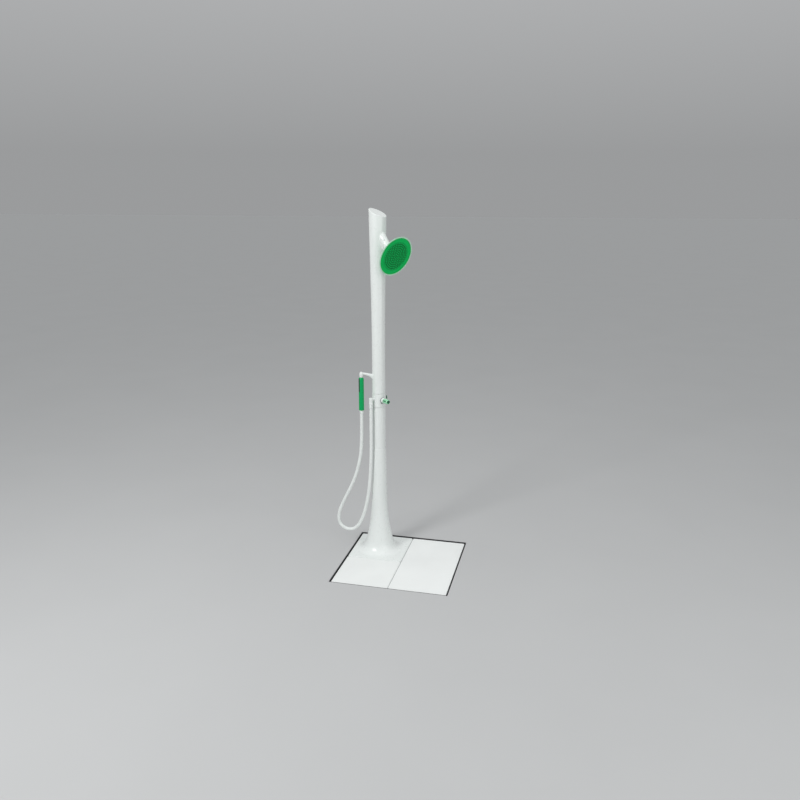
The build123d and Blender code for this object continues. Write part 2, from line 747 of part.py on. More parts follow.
with BuildPart() as outlet_elbow:
    with BuildSketch(outlet_base.offset(outlet_body_low)):
        Circle(outlet_body_radius)
    extrude(amount=outlet_top - outlet_body_low)
    fillet(outlet_elbow.faces().sort_by(Axis.Z)[-1].edges(), 6)
    with BuildSketch(outward(outlet_azimuth, port_start, outlet_height)):
        Circle(port_radius)
    extrude(amount=outlet_reach - port_start)
    with BuildSketch(outlet_base.offset(outlet_thread_low)):
        Circle(outlet_thread_radius)
    extrude(amount=outlet_body_low - outlet_thread_low)
    with BuildSketch(outlet_base.offset(outlet_thread_low)):
        Circle(4.5)
    extrude(amount=outlet_height - outlet_thread_low, mode=Mode.SUBTRACT)
    with BuildSketch(outward(outlet_azimuth, port_start, outlet_height)):
        Circle(4.5)
    extrude(amount=outlet_reach - port_start, mode=Mode.SUBTRACT)

with BuildPart() as upper_hose_nut:
    with BuildSketch(outlet_base.offset(outlet_nut_low)):
        Circle(13.3)
        Circle(nut_bore, mode=Mode.SUBTRACT)
    extrude(amount=outlet_nut_high - outlet_nut_low)
    chamfer(upper_hose_nut.faces().sort_by(Axis.Z)[0].outer_wire().edges(), 14, 1.8)
    with BuildSketch(outlet_base.offset(outlet_thread_low - washer_thickness)):
        Circle(outlet_thread_radius + running)
    extrude(amount=outlet_nut_high - outlet_thread_low + washer_thickness, mode=Mode.SUBTRACT)

with BuildPart() as upper_hose_washer:
    with BuildSketch(outlet_base.offset(outlet_thread_low - washer_thickness)):
        Circle(outlet_thread_radius)
        Circle(nut_bore, mode=Mode.SUBTRACT)
    extrude(amount=washer_thickness)

# ---------------------------------------------------------------- hand shower
handset_bore = 8.0
handset_wall_low = 1052.0
handset_wall_high = 1243.0
connector_low = 1026.0
handset_nut_low = 1020.0
handset_nut_high = 1038.7
keeper_depth = 4.0
keeper_radius = 5.0
handset_dome = 12.0
strip_azimuth = 222.0
strip_middle = 1204.0
strip_length = 92.0
strip_width = 18.0
strip_floor = 9.5
strip_face = 14.2
strip_turn = radians(strip_azimuth)
strip_base = Plane(
    origin=(handset_x, strand_y, strip_middle),
    x_dir=(-sin(strip_turn), cos(strip_turn), 0),
    z_dir=(cos(strip_turn), sin(strip_turn), 0),
)

with BuildPart() as handset_body:
    with BuildSketch(handset_base.offset(handset_low)):
        Circle(handset_radius)
    extrude(amount=handset_high - handset_low)
    fillet(handset_body.faces().sort_by(Axis.Z)[-1].edges(), handset_dome)
    fillet(handset_body.faces().sort_by(Axis.Z)[0].edges(), 3)
    with BuildSketch(handset_base.offset(handset_low)):
        Circle(handset_bore)
    extrude(amount=handset_wall_high - handset_low, mode=Mode.SUBTRACT)
    with BuildSketch(handset_base.offset(handset_high - keeper_depth)):
        Circle(keeper_radius)
    extrude(amount=keeper_depth, mode=Mode.SUBTRACT)
    with BuildSketch(strip_base.offset(strip_floor)):
        SlotOverall(strip_length, strip_width, rotation=90)
    extrude(amount=handset_radius, mode=Mode.SUBTRACT)

with BuildPart() as spray_strip:
    with BuildSketch(strip_base.offset(strip_floor)):
        SlotOverall(strip_length - 0.4, strip_width - 0.4, rotation=90)
        with GridLocations(6, 6, 2, 12):
            Circle(0.8, mode=Mode.SUBTRACT)
    extrude(amount=strip_face - strip_floor)

with BuildPart() as handset_waterway:
    with BuildSketch(handset_base.offset(handset_wall_low)):
        Circle(handset_bore)
        Circle(handset_bore - 1.5, mode=Mode.SUBTRACT)
    extrude(amount=handset_wall_high - handset_wall_low)

with BuildPart() as handset_connector:
    with BuildSketch(handset_base.offset(connector_low)):
        Circle(handset_bore)
        Circle(nut_bore, mode=Mode.SUBTRACT)
    extrude(amount=handset_wall_low - connector_low)

with BuildPart() as handset_keeper:
    with BuildSketch(handset_base.offset(handset_high - keeper_depth)):
        Circle(keeper_radius)
    extrude(amount=keeper_depth - 0.2)

with BuildPart() as lower_hose_nut:
    with BuildSketch(handset_base.offset(handset_nut_low)):
        Circle(13.3)
        Circle(nut_bore, mode=Mode.SUBTRACT)
    extrude(amount=handset_nut_high - handset_nut_low)
    chamfer(lower_hose_nut.faces().sort_by(Axis.Z)[0].outer_wire().edges(), 8, 1.8)
    with BuildSketch(handset_base.offset(connector_low - washer_thickness)):
        Circle(handset_bore + running)
    extrude(amount=handset_nut_high - connector_low + washer_thickness, mode=Mode.SUBTRACT)

with BuildPart() as lower_hose_washer:
    with BuildSketch(handset_base.offset(connector_low - washer_thickness)):
        Circle(handset_bore)
        Circle(nut_bore, mode=Mode.SUBTRACT)
    extrude(amount=washer_thickness - 0.1)

# ---------------------------------------------------------------- hand shower bracket
# A twig grows from the trunk and turns down into a cap; a magnet in the cap holds the hand shower.
bracket_plane = upright(handset_azimuth)
bracket_gap = 0.3
cap_low = handset_high + bracket_gap
magnet_radius = 6.5
magnet_height = 5.0
# distance from the column's axis, height, radius and rise in degrees of each section of the twig
twig_sections = [(33, 1254, 20, 24), (50, 1263, 12, 22), (72, 1271, 8.4, 17), (95, 1277, 7.4, 14),
                 (112, 1281, 6.5, 14)]
# radius and height of the cap above its lower edge
cap_outline = [(9.5, 0), (10.5, 10), (11.0, 20), (8.5, 30), (0, 35.5)]

with BuildPart() as twig_cap:
    with BuildSketch(upright(handset_azimuth, cap_low, handset_x, strand_y)):
        with BuildLine():
            dome = Spline(cap_outline, tangents=[(0.1, 1), (-1, 0)])
            Polyline(dome @ 1, (0, 0), dome @ 0)
        make_face()
    revolve(axis=Axis((handset_x, strand_y, 0), (0, 0, 1)))

with BuildPart() as hand_shower_bracket:
    for reach, height, section_radius, rise in twig_sections:
        along = bracket_plane.from_local_coords(Vector(cos(radians(rise)), sin(radians(rise)), 0))
        section_spot = bracket_plane.from_local_coords(Vector(reach, height, 0))
        with BuildSketch(Plane(section_spot, bracket_plane.z_dir, along - bracket_plane.origin)):
            Circle(section_radius)
    loft()
    add(twig_cap.part)
    add(crown_solid, mode=Mode.SUBTRACT)
    with BuildSketch(handset_base.offset(cap_low)):
        Circle(magnet_radius)
    extrude(amount=magnet_height, mode=Mode.SUBTRACT)
    with BuildSketch(outward(handset_azimuth, mast_radius, bracket_screw_height)):
        Circle(bracket_screw_radius)
    extrude(amount=12, mode=Mode.SUBTRACT)

with BuildPart() as bracket_magnet:
    with BuildSketch(handset_base.offset(cap_low + 0.2)):
        Circle(magnet_radius)
    extrude(amount=magnet_height - 0.2)

with BuildPart() as bracket_screw:
    with BuildSketch(outward(handset_azimuth, 27, bracket_screw_height)):
        Circle(bracket_screw_radius)
    extrude(amount=mast_radius + 12 - 27)

with BuildPart() as bracket_nut:
    with BuildSketch(outward(handset_azimuth, 30.5, bracket_screw_height)):
        RegularPolygon(6.5, 6)
        Circle(bracket_screw_radius, mode=Mode.SUBTRACT)
    extrude(amount=5)

# ---------------------------------------------------------------- hose
# The hose hangs free in the plane y = strand_y, from the outlet down, round and up to the hand shower.
hose_route = [(-228, 1057), (-228, 860), (-232, 670), (-246, 495), (-274, 350), (-308, 262),
              (-342, 215), (-388, 200), (-435, 216), (-462, 258), (-457, 326), (-413, 425),
              (-345, 560), (-301, 715), (-291, 870), (-291, 1020)]


def bend_radii(route):
    """Largest arc at each corner that leaves a tenth of the shorter run straight."""
    radii = []
    for before, corner, after in zip(route, route[1:], route[2:]):
        arriving = Vector(corner) - Vector(before)
        leaving = Vector(after) - Vector(corner)
        turn = radians(arriving.get_angle(leaving))
        radii.append(0.45 * min(arriving.length, leaving.length) / tan(turn / 2))
    return radii


hose_corners = [(x, strand_y, z) for x, z in hose_route]
hose_radii = bend_radii(hose_corners)
print("hose bend radii", [round(radius) for radius in hose_radii])

with BuildPart() as shower_hose:
    with BuildLine() as hose_line:
        FilletPolyline(*hose_corners, radius=hose_radii)
    with BuildSketch(Plane(origin=hose_line.line @ 0, z_dir=hose_line.line % 0)):
        Circle(hose_diameter / 2)
    sweep(transition=Transition.ROUND)

hose_length = sum(edge.length for edge in hose_line.edges())
hose_section = pi * (hose_diameter / 2) ** 2
hose_fill = shower_hose.part.volume / (hose_length * hose_section)
print("hose length", round(hose_length), "volume over section times length", round(hose_fill, 4))

# ---------------------------------------------------------------- writing the pieces
pieces = {
    "tray_feet": tray_feet,
    "base_plate": base_plate,
    "drain_tray": drain_tray,
    "drain_body": drain_body,
    "drain_gasket": drain_gasket,
    "drain_strainer": drain_strainer,
    "pedestal_bases": pedestal_bases,
    "pedestal_heads": pedestal_heads,
    "front_left_tile": front_left_tile,
    "right_tile": right_tile,
    "joint_strips": joint_strips,
    "column_shell": column_shell,
    "mixer_collar": mixer_collar,
    "upper_shell": upper_shell,
    "top_cap": top_cap,
    "mast_flange": mast_flange,
    "lower_mast": lower_mast,
    "upper_mast": upper_mast,
    "centring_rings": centring_rings,
    "inlet_block": inlet_block,
    "hot_supply_pipe": hot_supply_pipe,
    "cold_supply_pipe": cold_supply_pipe,
    "check_valves": check_valves,
    "mixer_body": mixer_body,
    "mixer_cartridge": mixer_cartridge,
    "cartridge_nut": cartridge_nut,
    "mixer_spindle": mixer_spindle,
    "mixer_knob": mixer_knob,
    "lever_pin": lever_pin,
    "lever_grip": lever_grip,
    "diverter_sleeve": diverter_sleeve,
    "diverter_ring": diverter_ring,
    "riser_pipe": riser_pipe,
    "riser_elbow": riser_elbow,
    "arm_pipe": arm_pipe,
    "arm_set_screw": arm_set_screw,
    "ball_stud": ball_stud,
    "ball_liner": ball_liner,
    "ball_seal": ball_seal,
    "ball_nut": ball_nut,
    "head_shell": head_shell,
    "flow_regulator": flow_regulator,
    "face_gasket": face_gasket,
    "face_plate": face_plate,
    "nozzle_mat": nozzle_mat,
    "outlet_elbow": outlet_elbow,
    "upper_hose_nut": upper_hose_nut,
    "upper_hose_washer": upper_hose_washer,
    "shower_hose": shower_hose,
    "lower_hose_nut": lower_hose_nut,
    "lower_hose_washer": lower_hose_washer,
    "handset_body": handset_body,
    "handset_waterway": handset_waterway,
    "handset_connector": handset_connector,
    "handset_keeper": handset_keeper,
    "spray_strip": spray_strip,
    "hand_shower_bracket": hand_shower_bracket,
    "bracket_magnet": bracket_magnet,
    "bracket_screw": bracket_screw,
    "bracket_nut": bracket_nut,
}

os.makedirs("parts", exist_ok=True)
for name, piece in pieces.items():
    piece.part.label = name
    export_step(piece.part, f"parts/{name}.step")
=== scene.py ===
import bmesh
import bpy
import json
from math import cos, pi, radians, sin
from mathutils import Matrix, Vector


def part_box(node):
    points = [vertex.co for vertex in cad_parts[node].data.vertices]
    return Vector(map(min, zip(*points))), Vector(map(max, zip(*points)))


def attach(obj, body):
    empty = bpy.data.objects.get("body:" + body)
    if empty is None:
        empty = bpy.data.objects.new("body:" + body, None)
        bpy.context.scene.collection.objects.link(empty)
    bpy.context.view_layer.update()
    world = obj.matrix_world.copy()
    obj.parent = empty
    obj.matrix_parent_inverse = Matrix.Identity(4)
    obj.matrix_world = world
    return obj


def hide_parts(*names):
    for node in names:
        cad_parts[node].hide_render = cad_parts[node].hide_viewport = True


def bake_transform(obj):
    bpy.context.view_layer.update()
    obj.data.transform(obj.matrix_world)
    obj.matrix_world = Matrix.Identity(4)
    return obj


# Free-standing safety shower: white trunk with a branch, green rain head, mixer and hand shower.
# Metres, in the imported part's frame: Z up, the user stands on the -Y side.

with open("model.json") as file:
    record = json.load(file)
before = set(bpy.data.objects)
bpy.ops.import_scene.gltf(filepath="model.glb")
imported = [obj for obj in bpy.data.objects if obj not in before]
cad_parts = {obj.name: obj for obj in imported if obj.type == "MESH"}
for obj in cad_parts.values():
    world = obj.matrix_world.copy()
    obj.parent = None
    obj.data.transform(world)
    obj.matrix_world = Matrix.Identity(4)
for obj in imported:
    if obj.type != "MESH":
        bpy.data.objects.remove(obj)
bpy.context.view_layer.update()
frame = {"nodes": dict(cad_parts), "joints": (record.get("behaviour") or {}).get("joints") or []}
nodes = frame["nodes"]

# ---------------------------------------------------------------- places taken from the frame
upright = Vector((0, 0, 1))
tray_low, tray_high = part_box("drain_tray")
rim_top = tray_high.z
nut_low, nut_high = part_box("upper_hose_nut")
end_low, end_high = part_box("lower_hose_nut")
hose_exit = Vector(((nut_low.x + nut_high.x) / 2, (nut_low.y + nut_high.y) / 2, nut_low.z))


# ---------------------------------------------------------------- material tools
def new_material(name, colour, roughness):
    """Principled material with its plain values on the shader's own sockets."""
    material = bpy.data.materials.new(name)
    material.use_nodes = True
    shader = material.node_tree.nodes["Principled BSDF"]
    shader.inputs["Base Color"].default_value = (*colour, 1)
    shader.inputs["Roughness"].default_value = roughness
    return material, shader


def add_node(material, kind, **values):
    """Shader node of a kind, with the given settings."""
    node = material.node_tree.nodes.new(kind)
    for name, value in values.items():
        setattr(node, name, value)
    return node


def object_noise(material, scale, detail=4.0, stretch=(1, 1, 1)):
    """Noise in the object's own coordinates, in metres; stretch scales it along each axis."""
    links = material.node_tree.links
    place = add_node(material, "ShaderNodeTexCoord")
    mapping = add_node(material, "ShaderNodeMapping")
    mapping.inputs["Scale"].default_value = stretch
    noise = add_node(material, "ShaderNodeTexNoise")
    noise.inputs["Scale"].default_value = scale
    noise.inputs["Detail"].default_value = detail
    links.new(place.outputs["Object"], mapping.inputs["Vector"])
    links.new(mapping.outputs["Vector"], noise.inputs["Vector"])
    return noise.outputs["Fac"]


def add_ramp(material, source, low_colour, high_colour, low=0.3, high=0.7):
    """Colour that runs from one tone to another with the source."""
    ramp = add_node(material, "ShaderNodeValToRGB")
    ramp.color_ramp.elements[0].position = low
    ramp.color_ramp.elements[0].color = (*low_colour, 1)
    ramp.color_ramp.elements[1].position = high
    ramp.color_ramp.elements[1].color = (*high_colour, 1)
    material.node_tree.links.new(source, ramp.inputs["Fac"])
    return ramp.outputs["Color"]


def add_range(material, source, low, high):
    """Value that runs from low to high with a source between 0.3 and 0.7."""
    scale = add_node(material, "ShaderNodeMapRange")
    scale.inputs["From Min"].default_value = 0.3
    scale.inputs["From Max"].default_value = 0.7
    scale.inputs["To Min"].default_value = low
    scale.inputs["To Max"].default_value = high
    material.node_tree.links.new(source, scale.inputs["Value"])
    return scale.outputs["Result"]


def add_bump(material, source, depth, strength=0.5, under=None):
    """Bump of the given depth in metres, laid over another bump if one is given."""
    bump = add_node(material, "ShaderNodeBump")
    bump.inputs["Distance"].default_value = depth
    bump.inputs["Strength"].default_value = strength
    material.node_tree.links.new(source, bump.inputs["Height"])
    if under is not None:
        material.node_tree.links.new(under, bump.inputs["Normal"])
    return bump.outputs["Normal"]


def add_edges(material, radius, threshold=0.92):
    """1 along sharp edges and 0 on open surfaces, from a bevelled normal."""
    links = material.node_tree.links
    geometry = add_node(material, "ShaderNodeNewGeometry")
    bevel = add_node(material, "ShaderNodeBevel", samples=4)
    bevel.inputs["Radius"].default_value = radius
    dot = add_node(material, "ShaderNodeVectorMath", operation="DOT_PRODUCT")
    links.new(geometry.outputs["Normal"], dot.inputs[0])
    links.new(bevel.outputs["Normal"], dot.inputs[1])
    scale = add_node(material, "ShaderNodeMapRange")
    scale.inputs["From Min"].default_value = threshold
    scale.inputs["From Max"].default_value = 1.0
    scale.inputs["To Min"].default_value = 1.0
    scale.inputs["To Max"].default_value = 0.0
    links.new(dot.outputs["Value"], scale.inputs["Value"])
    return scale.outputs["Result"]


def scaled(colour, factor):
    """Colour made lighter or darker by a factor, held at white."""
    return tuple(min(1.0, channel * factor) for channel in colour)


def moulded(name, colour, roughness, grain=0.00003, mottle=0.06, coat=0.0, mottle_scale=9.0,
            specular=0.5):
    """Moulded or cast surface: soft mottling, uneven gloss, fine grain and a painted highlight that makes
    sharp edges slightly lighter.
    """
    material, shader = new_material(name, colour, roughness)
    shader.inputs["Specular IOR Level"].default_value = specular
    links = material.node_tree.links
    cloud = object_noise(material, mottle_scale, 3.0)
    tone = add_ramp(material, cloud, scaled(colour, 1 - mottle), scaled(colour, 1 + mottle / 2))
    # painted highlight: sharp edges mixed toward a colour 18 percent lighter than the surface
    mix = add_node(material, "ShaderNodeMixRGB")
    mix.inputs["Color2"].default_value = (*scaled(colour, 1.18), 1)
    links.new(add_edges(material, 0.0012), mix.inputs["Fac"])
    links.new(tone, mix.inputs["Color1"])
    links.new(mix.outputs["Color"], shader.inputs["Base Color"])
    links.new(add_range(material, object_noise(material, 60.0), roughness - 0.05, roughness + 0.07),
              shader.inputs["Roughness"])
    links.new(add_bump(material, object_noise(material, 900.0, 2.0), grain), shader.inputs["Normal"])
    shader.inputs["Coat Weight"].default_value = coat
    shader.inputs["Coat Roughness"].default_value = 0.15
    return material


def metal(name, colour, roughness, stretch=(1, 1, 0.05)):
    """Drawn or turned metal with fine lines across the stretched axis."""
    material, shader = new_material(name, colour, roughness)
    links = material.node_tree.links
    shader.inputs["Metallic"].default_value = 1.0
    lines = object_noise(material, 900.0, 3.0, stretch)
    tone = add_ramp(material, lines, scaled(colour, 0.85), scaled(colour, 1.1))
    links.new(tone, shader.inputs["Base Color"])
    links.new(add_range(material, lines, roughness - 0.08, roughness + 0.1), shader.inputs["Roughness"])
    links.new(add_bump(material, lines, 0.00002), shader.inputs["Normal"])
    return material


def rain_face(name, colour, centre_colour, joint, rings_radius, ring_pitch):
    """Green face of the rain head: fine rings inside rings_radius, a plain brighter border outside."""
    material, shader = new_material(name, colour, 0.45)
    shader.inputs["Specular IOR Level"].default_value = 0.12
    links = material.node_tree.links
    place = add_node(material, "ShaderNodeTexCoord")
    away = add_node(material, "ShaderNodeVectorMath", operation="SUBTRACT")
    away.inputs[1].default_value = joint["pos_m"]
    along = add_node(material, "ShaderNodeVectorMath", operation="CROSS_PRODUCT")
    along.inputs[1].default_value = Vector(joint["axis"]).normalized()
    radius = add_node(material, "ShaderNodeVectorMath", operation="LENGTH")
    links.new(place.outputs["Object"], away.inputs[0])
    links.new(away.outputs["Vector"], along.inputs[0])
    links.new(along.outputs["Vector"], radius.inputs[0])
    half_blend = 0.004
    border = add_node(material, "ShaderNodeMapRange")
    border.inputs["From Min"].default_value = rings_radius - half_blend
    border.inputs["From Max"].default_value = rings_radius + half_blend
    links.new(radius.outputs["Value"], border.inputs["Value"])
    turns = add_node(material, "ShaderNodeMath", operation="MULTIPLY")
    turns.inputs[1].default_value = 2 * pi / ring_pitch
    wave = add_node(material, "ShaderNodeMath", operation="COSINE")
    links.new(radius.outputs["Value"], turns.inputs[0])
    links.new(turns.outputs["Value"], wave.inputs[0])
    groove = add_node(material, "ShaderNodeMapRange")
    groove.inputs["From Min"].default_value = -1.0
    links.new(wave.outputs["Value"], groove.inputs["Value"])
    rings = add_ramp(material, groove.outputs["Result"], centre_colour, scaled(colour, 1.2), 0.3, 0.8)
    mix = add_node(material, "ShaderNodeMixRGB")
    links.new(border.outputs["Result"], mix.inputs["Fac"])
    links.new(rings, mix.inputs["Color1"])
    cloud = add_ramp(material, object_noise(material, 30.0), scaled(colour, 0.94), scaled(colour, 1.05))
    links.new(cloud, mix.inputs["Color2"])
    links.new(mix.outputs["Color"], shader.inputs["Base Color"])
    grain = add_bump(material, object_noise(material, 900.0, 2.0), 0.00003)
    links.new(grain, shader.inputs["Normal"])
    links.new(add_range(material, object_noise(material, 60.0), 0.33, 0.45), shader.inputs["Roughness"])
    return material


def slip_resistant(name, colour):
    """Satin white walking surface: tiny pimples, faint wear and a slow change of tone."""
    material, shader = new_material(name, colour, 0.45)
    links = material.node_tree.links
    tone = add_ramp(material, object_noise(material, 4.0, 3.0), scaled(colour, 0.965), scaled(colour, 1.02))
    links.new(tone, shader.inputs["Base Color"])
    place = add_node(material, "ShaderNodeTexCoord")
    pimples = add_node(material, "ShaderNodeTexVoronoi")
    pimples.inputs["Scale"].default_value = 320.0
    links.new(place.outputs["Object"], pimples.inputs["Vector"])
    pimpled = add_bump(material, pimples.outputs["Distance"], 0.00008, 0.4)
    grain = add_bump(material, object_noise(material, 700.0), 0.00004, 0.4, pimpled)
    links.new(grain, shader.inputs["Normal"])
    links.new(add_range(material, object_noise(material, 22.0), 0.36, 0.52), shader.inputs["Roughness"])
    return material


# ---------------------------------------------------------------- materials
white = (0.80, 0.835, 0.815)
green = (0.0, 0.52, 0.105)
deep_green = (0.0, 0.16, 0.035)
dark_green = (0.003, 0.085, 0.036)
pale_green = (0.50, 0.80, 0.60)
black = (0.018, 0.018, 0.02)
grey = (0.33, 0.34, 0.34)
joints = {joint["name"]: joint for joint in frame["joints"]}
nozzle_pitch = 0.012
nozzle_rings = 7
rings_radius = 0.089

looks = {
    "trunk_white": moulded("trunk_white", white, 0.30, 0.00002, 0.03, 0.3, 3.0),
    "tile_white": slip_resistant("tile_white", (0.83, 0.85, 0.835)),
    "tile_joint": moulded("tile_joint", (0.50, 0.52, 0.51), 0.7, 0.0001, 0.08, 0.0, 60.0, 0.2),
    "head_pale": moulded("head_pale", pale_green, 0.36, 0.00002, 0.03, 0.1, 20.0, 0.4),
    "head_green": rain_face("head_green", green, deep_green, joints["head_spin"], rings_radius,
                            nozzle_pitch),
    "nozzle_green": moulded("nozzle_green", (0.0, 0.12, 0.03), 0.5, 0.00004, 0.08, 0.0, 80.0, 0.2),
    "control_green": moulded("control_green", (0.30, 0.70, 0.42), 0.34, 0.00003, 0.05, 0.2, 60.0),
    "handset_green": moulded("handset_green", (0.0, 0.36, 0.10), 0.36, 0.00003, 0.06, 0.0, 40.0, 0.25),
    "dark_green": moulded("dark_green", dark_green, 0.42, 0.00004, 0.1, 0.0, 90.0),
    "hose_white": moulded("hose_white", scaled(white, 0.98), 0.38, 0.00003, 0.04, 0.1, 40.0),
    "fitting_white": moulded("fitting_white", white, 0.30, 0.00002, 0.03, 0.2, 30.0),
    # black tray, flange and base plate; the tray's black also paints the shade seen in the narrow gap round
    # the tiles
    "tray_black_gap_shade": moulded("tray_black_gap_shade", black, 0.55, 0.00012, 0.2, 0.0, 20.0),
    "rubber_black": moulded("rubber_black", scaled(black, 0.8), 0.75, 0.0001, 0.2, 0.0, 60.0),
    "plastic_black": moulded("plastic_black", scaled(black, 1.6), 0.5, 0.00008, 0.15, 0.0, 60.0),
    "plastic_grey": moulded("plastic_grey", grey, 0.45, 0.00005, 0.08, 0.0, 60.0),
    "steel": metal("steel", (0.55, 0.56, 0.57), 0.32),
    "turned_steel": metal("turned_steel", (0.5, 0.51, 0.52), 0.28, (1, 1, 1)),
    "brass": metal("brass", (0.66, 0.47, 0.20), 0.33, (1, 1, 1)),
    "copper": metal("copper", (0.72, 0.36, 0.22), 0.34),
}

finish_of = {
    "trunk_white": ["column_shell", "upper_shell", "top_cap", "mixer_collar", "hand_shower_bracket"],
    "tile_white": ["front_left_tile", "right_tile"],
    "tile_joint": ["joint_strips"],
    "head_pale": ["head_shell"],
    "head_green": ["face_plate"],
    "nozzle_green": ["nozzle_mat"],
    "control_green": ["mixer_knob"],
    "handset_green": ["handset_body", "handset_keeper"],
    "dark_green": ["lever_grip", "spray_strip"],
    "hose_white": ["shower_hose"],
    "fitting_white": ["outlet_elbow", "upper_hose_nut", "lower_hose_nut", "diverter_ring", "lever_pin"],
    "tray_black_gap_shade": ["drain_tray", "mast_flange", "base_plate"],
    "rubber_black": ["tray_feet", "drain_gasket", "face_gasket", "ball_seal", "upper_hose_washer",
                     "lower_hose_washer"],
    "plastic_black": ["pedestal_bases", "pedestal_heads", "centring_rings"],
    "plastic_grey": ["drain_body", "ball_liner", "flow_regulator", "handset_waterway", "check_valves",
                     "mixer_cartridge", "diverter_sleeve", "ball_nut"],
    "steel": ["lower_mast", "upper_mast"],
    "turned_steel": ["drain_strainer", "arm_set_screw", "bracket_screw", "bracket_nut", "bracket_magnet"],
    "brass": ["mixer_body", "inlet_block", "riser_elbow", "ball_stud", "cartridge_nut", "mixer_spindle",
              "handset_connector"],
    "copper": ["hot_supply_pipe", "cold_supply_pipe", "riser_pipe", "arm_pipe"],
}


def paint(piece, material):
    """Give a CAD piece one material in place of its own."""
    piece.data.materials.clear()
    piece.data.materials.append(material)


for finish, names in finish_of.items():
    for name in names:
        paint(nodes[name], looks[finish])

# ---------------------------------------------------------------- hose
hose_diameter = 0.022
rib_pitch = 0.005
rib_depth = 0.0004
steps_per_rib = 4
strand_y = hose_exit.y
# x and height of the route's points, from the outlet down, round and up to the hand shower
hose_route = [(-0.228, 1.057), (-0.228, 0.860), (-0.232, 0.670), (-0.246, 0.495), (-0.274, 0.350),
              (-0.308, 0.262), (-0.342, 0.215), (-0.388, 0.200), (-0.435, 0.216), (-0.462, 0.258),
              (-0.457, 0.326), (-0.413, 0.425), (-0.345, 0.560), (-0.301, 0.715), (-0.291, 0.870),
              (-0.291, 1.020)]


def smooth_line(name, points):
    """Points along the NURBS spline that has the given control points."""
    curve = bpy.data.curves.new(name, "CURVE")
    curve.dimensions = "3D"
    spline = curve.splines.new("NURBS")
    spline.points.add(len(points) - 1)
    for target, point in zip(spline.points, points):
        target.co = (*point, 1)
    spline.order_u = 3
    spline.use_endpoint_u = True
    spline.resolution_u = 32
    carrier = bpy.data.objects.new(name, curve)
    line = bpy.data.meshes.new_from_object(carrier)
    spots = [vertex.co.copy() for vertex in line.vertices]
    bpy.data.objects.remove(carrier)
    bpy.data.meshes.remove(line)
    return spots


def evenly(spots, count):
    """Places and directions at count equal steps along the line."""
    lengths = [0.0]
    for before, after in zip(spots, spots[1:]):
        lengths.append(lengths[-1] + (after - before).length)
    stations = []
    index = 0
    for step in range(count + 1):
        wanted = lengths[-1] * step / count
        while index < len(spots) - 2 and lengths[index + 1] < wanted:
            index += 1
        share = (wanted - lengths[index]) / (lengths[index + 1] - lengths[index])
        stations.append(spots[index].lerp(spots[index + 1], share))
    directions = []
    for step in range(count + 1):
        ahead = stations[min(step + 1, count)]
        behind = stations[max(step - 1, 0)]
        directions.append((ahead - behind).normalized())
    return stations, directions


def new_piece(name, mesh, finish, body, smooth=True):
    """Object from a bmesh, painted and riding on a body."""
    bmesh.ops.recalc_face_normals(mesh, faces=mesh.faces)
    data = bpy.data.meshes.new(name)
    mesh.to_mesh(data)
    mesh.free()
    for polygon in data.polygons:
        polygon.use_smooth = smooth
    piece = bpy.data.objects.new(name, data)
    bpy.context.scene.collection.objects.link(piece)
    piece.data.materials.append(looks[finish])
    if body:
        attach(piece, body)
    return piece


def ring_of(mesh, centre, first, second, radius, sides):
    """Closed ring of vertices in the plane of two directions."""
    ring = []
    for side in range(sides):
        turn = 2 * pi * side / sides
        ring.append(mesh.verts.new(centre + (first * cos(turn) + second * sin(turn)) * radius))
    return ring


def join_rings(mesh, rings):
    """Skin between neighbouring rings, with both ends closed."""
    for lower, upper in zip(rings, rings[1:]):
        for side in range(len(lower)):
            after = (side + 1) % len(lower)
            mesh.faces.new((lower[side], lower[after], upper[after], upper[side]))
    mesh.faces.new(rings[0])
    mesh.faces.new(rings[-1])


def make_hose():
    """Ribbed tube along the route's smooth line."""
    spots = smooth_line("hose_line", [(x, strand_y, z) for x, z in hose_route])
    rough_length = sum((after - before).length for before, after in zip(spots, spots[1:]))
    count = round(rough_length / rib_pitch) * steps_per_rib
    stations, directions = evenly(spots, count)
    side = Vector((0, 1, 0))
    mesh = bmesh.new()
    rings = []
    for step, (station, direction) in enumerate(zip(stations, directions)):
        wave = 0.5 - 0.5 * cos(2 * pi * step / steps_per_rib)
        radius = hose_diameter / 2 - rib_depth * (1 - wave)
        rings.append(ring_of(mesh, station, side, direction.cross(side), radius, 24))
    join_rings(mesh, rings)
    hose = new_piece("hose", mesh, "hose_white", None)
    return hose, stations


hose, hose_line = make_hose()
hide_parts("shower_hose")
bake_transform(hose)


def turned(mesh, base, axis, profile, sides):
    """Turned shape about an axis: profile gives each ring's radius and distance along the axis."""
    first = axis.orthogonal().normalized()
    second = axis.cross(first)
    rings = []
    for radius, along in profile:
        rings.append(ring_of(mesh, base + axis * along, first, second, radius, sides))
    join_rings(mesh, rings)


def make_sleeve(name, low, high, body, grooves):
    """Hose sleeve with a rounded lower end and grip grooves near it."""
    first_groove = 0.004
    groove_pitch = 0.0036
    groove_floor = 0.9
    base = Vector(((low.x + high.x) / 2, (low.y + high.y) / 2, low.z))
    radius = (high.x - low.x) / 2
    height = high.z - low.z
    profile = [(radius * 0.6, 0), (radius * 0.86, 0.0004), (radius * 0.93, 0.0022)]
    for groove in range(grooves):
        start = first_groove + groove * groove_pitch
        profile += [(radius * 0.96, start), (radius * groove_floor, start + 0.0006),
                    (radius * groove_floor, start + 0.0014), (radius * 0.97, start + 0.002)]
    profile += [(radius * 0.985, first_groove + 0.0015 + grooves * groove_pitch),
                (radius, height - 0.0012), (radius * 0.965, height - 0.0001), (radius * 0.6, height)]
    mesh = bmesh.new()
    turned(mesh, base, upright, profile, 40)
    return new_piece(name, mesh, "fitting_white", body)


